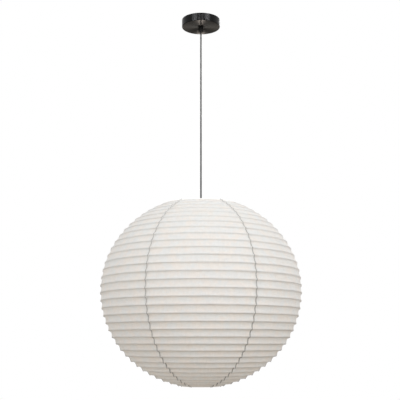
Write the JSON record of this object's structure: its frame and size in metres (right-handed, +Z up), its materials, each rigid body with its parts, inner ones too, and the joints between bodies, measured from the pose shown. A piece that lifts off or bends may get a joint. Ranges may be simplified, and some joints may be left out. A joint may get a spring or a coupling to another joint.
{
  "type": "pendant lamp with ribbed globe shade",
  "caption": "Ribbed cloth globe shade on wire hoops, hung by a straight cord from a round dark canopy; it swings, turns and folds flat.",
  "frame": {"origin": "centre of the ceiling bracket's top face, on the ceiling plane", "axes": "+Z up out of the ceiling face, cord and shade on the Z axis below it, X along the bracket"},
  "size_m": [0.6018, 0.6016, 1.1373],
  "materials": {
    "blackened_steel": "turned, blackened, satin",
    "zinc_steel": "zinc plated",
    "black_nylon": "moulded, satin",
    "terminal_plastic": "moulded",
    "cord_braid": "braided textile sleeve",
    "core_insulation": "soft insulation",
    "holder_plastic": "moulded, satin",
    "contact_brass": "pressed strip",
    "bulb_nickel": "rolled shell",
    "opal_glass": "opal",
    "frame_steel": "white enamelled wire",
    "hoop_steel": "grey-white coated wire",
    "shade_linen": "slub-woven off-white cloth"
  },
  "bodies": {
    "ceiling_fitting": {"ceiling_bracket": "zinc_steel", "canopy_cup": "blackened_steel", "canopy_screws": "blackened_steel", "terminal_block": "terminal_plastic", "terminal_screws": "zinc_steel", "cord_grip": "black_nylon", "grip_nut": "black_nylon", "grip_screw": "black_nylon", "cord_inner": "cord_braid", "conductors": "core_insulation"},
    "cord_top": {"cord_bend": "cord_braid"},
    "hanging_cord": {"cord": "cord_braid", "lampholder_cap": "holder_plastic", "lampholder_body": "holder_plastic", "lampholder_contacts": "contact_brass", "shade_nut": "holder_plastic", "bulb_cap": "bulb_nickel", "bulb_glass": "opal_glass"},
    "shade": {"top_ring": "frame_steel", "spider": "frame_steel", "gore_1": "shade_linen", "gore_2": "shade_linen", "gore_3": "shade_linen", "gore_4": "shade_linen", "gore_5": "shade_linen", "gore_6": "shade_linen"},
    "bottom_ring": {"bottom_ring": "frame_steel"},
    "hoop_01": {"hoop_01": "hoop_steel"},
    "hoop_02": {"hoop_02": "hoop_steel"},
    "hoop_03": {"hoop_03": "hoop_steel"},
    "hoop_04": {"hoop_04": "hoop_steel"},
    "hoop_05": {"hoop_05": "hoop_steel"},
    "hoop_06": {"hoop_06": "hoop_steel"},
    "hoop_07": {"hoop_07": "hoop_steel"},
    "hoop_08": {"hoop_08": "hoop_steel"},
    "hoop_09": {"hoop_09": "hoop_steel"},
    "hoop_10": {"hoop_10": "hoop_steel"},
    "hoop_11": {"hoop_11": "hoop_steel"},
    "hoop_12": {"hoop_12": "hoop_steel"},
    "hoop_13": {"hoop_13": "hoop_steel"},
    "hoop_14": {"hoop_14": "hoop_steel"},
    "hoop_15": {"hoop_15": "hoop_steel"},
    "hoop_16": {"hoop_16": "hoop_steel"},
    "hoop_17": {"hoop_17": "hoop_steel"},
    "hoop_18": {"hoop_18": "hoop_steel"},
    "hoop_19": {"hoop_19": "hoop_steel"},
    "hoop_20": {"hoop_20": "hoop_steel"},
    "hoop_21": {"hoop_21": "hoop_steel"},
    "hoop_22": {"hoop_22": "hoop_steel"},
    "hoop_23": {"hoop_23": "hoop_steel"},
    "hoop_24": {"hoop_24": "hoop_steel"},
    "hoop_25": {"hoop_25": "hoop_steel"},
    "hoop_26": {"hoop_26": "hoop_steel"},
    "hoop_27": {"hoop_27": "hoop_steel"},
    "hoop_28": {"hoop_28": "hoop_steel"},
    "hoop_29": {"hoop_29": "hoop_steel"},
    "hoop_30": {"hoop_30": "hoop_steel"},
    "hoop_31": {"hoop_31": "hoop_steel"},
    "hoop_32": {"hoop_32": "hoop_steel"},
    "hoop_33": {"hoop_33": "hoop_steel"}
  },
  "joints": [
    {"name": "swing_sideways", "type": "hinge", "parent": "ceiling_fitting", "child": "cord_top", "pos_m": [0, 0, -0.042], "axis": [0, 1, 0], "range_deg": [-25, 25]},
    {"name": "swing_fore_aft", "type": "hinge", "parent": "cord_top", "child": "hanging_cord", "pos_m": [0, 0, -0.077], "axis": [1, 0, 0], "range_deg": [-25, 25]},
    {"name": "shade_turn", "type": "hinge", "parent": "hanging_cord", "child": "shade", "pos_m": [0, 0, -0.59838], "axis": [0, 0, 1], "continuous": true},
    {"name": "shade_fold", "type": "slide", "parent": "shade", "child": "bottom_ring", "axis": [0, 0, 1], "range_m": [0, 0.4552], "deforming": ["gore_1", "gore_2", "gore_3", "gore_4", "gore_5", "gore_6"]},
    {"name": "hoop_01_rise", "type": "slide", "parent": "shade", "child": "hoop_01", "axis": [0, 0, 1], "range_m": [0, 0.00336]},
    {"name": "hoop_02_rise", "type": "slide", "parent": "shade", "child": "hoop_02", "axis": [0, 0, 1], "range_m": [0, 0.01145]},
    {"name": "hoop_03_rise", "type": "slide", "parent": "shade", "child": "hoop_03", "axis": [0, 0, 1], "range_m": [0, 0.02078]},
    {"name": "hoop_04_rise", "type": "slide", "parent": "shade", "child": "hoop_04", "axis": [0, 0, 1], "range_m": [0, 0.03134]},
    {"name": "hoop_05_rise", "type": "slide", "parent": "shade", "child": "hoop_05", "axis": [0, 0, 1], "range_m": [0, 0.04306]},
    {"name": "hoop_06_rise", "type": "slide", "parent": "shade", "child": "hoop_06", "axis": [0, 0, 1], "range_m": [0, 0.05591]},
    {"name": "hoop_07_rise", "type": "slide", "parent": "shade", "child": "hoop_07", "axis": [0, 0, 1], "range_m": [0, 0.06982]},
    {"name": "hoop_08_rise", "type": "slide", "parent": "shade", "child": "hoop_08", "axis": [0, 0, 1], "range_m": [0, 0.08473]},
    {"name": "hoop_09_rise", "type": "slide", "parent": "shade", "child": "hoop_09", "axis": [0, 0, 1], "range_m": [0, 0.10054]},
    {"name": "hoop_10_rise", "type": "slide", "parent": "shade", "child": "hoop_10", "axis": [0, 0, 1], "range_m": [0, 0.11719]},
    {"name": "hoop_11_rise", "type": "slide", "parent": "shade", "child": "hoop_11", "axis": [0, 0, 1], "range_m": [0, 0.13456]},
    {"name": "hoop_12_rise", "type": "slide", "parent": "shade", "child": "hoop_12", "axis": [0, 0, 1], "range_m": [0, 0.15252]},
    {"name": "hoop_13_rise", "type": "slide", "parent": "shade", "child": "hoop_13", "axis": [0, 0, 1], "range_m": [0, 0.17099]},
    {"name": "hoop_14_rise", "type": "slide", "parent": "shade", "child": "hoop_14", "axis": [0, 0, 1], "range_m": [0, 0.1898]},
    {"name": "hoop_15_rise", "type": "slide", "parent": "shade", "child": "hoop_15", "axis": [0, 0, 1], "range_m": [0, 0.20884]},
    {"name": "hoop_16_rise", "type": "slide", "parent": "shade", "child": "hoop_16", "axis": [0, 0, 1], "range_m": [0, 0.22796]},
    {"name": "hoop_17_rise", "type": "slide", "parent": "shade", "child": "hoop_17", "axis": [0, 0, 1], "range_m": [0, 0.24702]},
    {"name": "hoop_18_rise", "type": "slide", "parent": "shade", "child": "hoop_18", "axis": [0, 0, 1], "range_m": [0, 0.26588]},
    {"name": "hoop_19_rise", "type": "slide", "parent": "shade", "child": "hoop_19", "axis": [0, 0, 1], "range_m": [0, 0.28443]},
    {"name": "hoop_20_rise", "type": "slide", "parent": "shade", "child": "hoop_20", "axis": [0, 0, 1], "range_m": [0, 0.30254]},
    {"name": "hoop_21_rise", "type": "slide", "parent": "shade", "child": "hoop_21", "axis": [0, 0, 1], "range_m": [0, 0.32007]},
    {"name": "hoop_22_rise", "type": "slide", "parent": "shade", "child": "hoop_22", "axis": [0, 0, 1], "range_m": [0, 0.33694]},
    {"name": "hoop_23_rise", "type": "slide", "parent": "shade", "child": "hoop_23", "axis": [0, 0, 1], "range_m": [0, 0.35304]},
    {"name": "hoop_24_rise", "type": "slide", "parent": "shade", "child": "hoop_24", "axis": [0, 0, 1], "range_m": [0, 0.36826]},
    {"name": "hoop_25_rise", "type": "slide", "parent": "shade", "child": "hoop_25", "axis": [0, 0, 1], "range_m": [0, 0.38253]},
    {"name": "hoop_26_rise", "type": "slide", "parent": "shade", "child": "hoop_26", "axis": [0, 0, 1], "range_m": [0, 0.39578]},
    {"name": "hoop_27_rise", "type": "slide", "parent": "shade", "child": "hoop_27", "axis": [0, 0, 1], "range_m": [0, 0.40793]},
    {"name": "hoop_28_rise", "type": "slide", "parent": "shade", "child": "hoop_28", "axis": [0, 0, 1], "range_m": [0, 0.41892]},
    {"name": "hoop_29_rise", "type": "slide", "parent": "shade", "child": "hoop_29", "axis": [0, 0, 1], "range_m": [0, 0.42872]},
    {"name": "hoop_30_rise", "type": "slide", "parent": "shade", "child": "hoop_30", "axis": [0, 0, 1], "range_m": [0, 0.43728]},
    {"name": "hoop_31_rise", "type": "slide", "parent": "shade", "child": "hoop_31", "axis": [0, 0, 1], "range_m": [0, 0.44456]},
    {"name": "hoop_32_rise", "type": "slide", "parent": "shade", "child": "hoop_32", "axis": [0, 0, 1], "range_m": [0, 0.45053]},
    {"name": "hoop_33_rise", "type": "slide", "parent": "shade", "child": "hoop_33", "axis": [0, 0, 1], "range_m": [0, 0.45517]}
  ],
  "couplings": [
    {"joint": "hoop_01_rise", "follows": "shade_fold", "ratio": 0.006274},
    {"joint": "hoop_02_rise", "follows": "shade_fold", "ratio": 0.024049},
    {"joint": "hoop_03_rise", "follows": "shade_fold", "ratio": 0.04455},
    {"joint": "hoop_04_rise", "follows": "shade_fold", "ratio": 0.06774},
    {"joint": "hoop_05_rise", "follows": "shade_fold", "ratio": 0.093506},
    {"joint": "hoop_06_rise", "follows": "shade_fold", "ratio": 0.12172},
    {"joint": "hoop_07_rise", "follows": "shade_fold", "ratio": 0.15228},
    {"joint": "hoop_08_rise", "follows": "shade_fold", "ratio": 0.18503},
    {"joint": "hoop_09_rise", "follows": "shade_fold", "ratio": 0.21978},
    {"joint": "hoop_10_rise", "follows": "shade_fold", "ratio": 0.25636},
    {"joint": "hoop_11_rise", "follows": "shade_fold", "ratio": 0.2945},
    {"joint": "hoop_12_rise", "follows": "shade_fold", "ratio": 0.33397},
    {"joint": "hoop_13_rise", "follows": "shade_fold", "ratio": 0.37453},
    {"joint": "hoop_14_rise", "follows": "shade_fold", "ratio": 0.41587},
    {"joint": "hoop_15_rise", "follows": "shade_fold", "ratio": 0.45769},
    {"joint": "hoop_16_rise", "follows": "shade_fold", "ratio": 0.49968},
    {"joint": "hoop_17_rise", "follows": "shade_fold", "ratio": 0.54156},
    {"joint": "hoop_18_rise", "follows": "shade_fold", "ratio": 0.58299},
    {"joint": "hoop_19_rise", "follows": "shade_fold", "ratio": 0.62375},
    {"joint": "hoop_20_rise", "follows": "shade_fold", "ratio": 0.66352},
    {"joint": "hoop_21_rise", "follows": "shade_fold", "ratio": 0.70204},
    {"joint": "hoop_22_rise", "follows": "shade_fold", "ratio": 0.73911},
    {"joint": "hoop_23_rise", "follows": "shade_fold", "ratio": 0.77447},
    {"joint": "hoop_24_rise", "follows": "shade_fold", "ratio": 0.80791},
    {"joint": "hoop_25_rise", "follows": "shade_fold", "ratio": 0.83926},
    {"joint": "hoop_26_rise", "follows": "shade_fold", "ratio": 0.86837},
    {"joint": "hoop_27_rise", "follows": "shade_fold", "ratio": 0.89505},
    {"joint": "hoop_28_rise", "follows": "shade_fold", "ratio": 0.91921},
    {"joint": "hoop_29_rise", "follows": "shade_fold", "ratio": 0.94074},
    {"joint": "hoop_30_rise", "follows": "shade_fold", "ratio": 0.95954},
    {"joint": "hoop_31_rise", "follows": "shade_fold", "ratio": 0.97552},
    {"joint": "hoop_32_rise", "follows": "shade_fold", "ratio": 0.98865},
    {"joint": "hoop_33_rise", "follows": "shade_fold", "ratio": 0.99884}
  ]
}
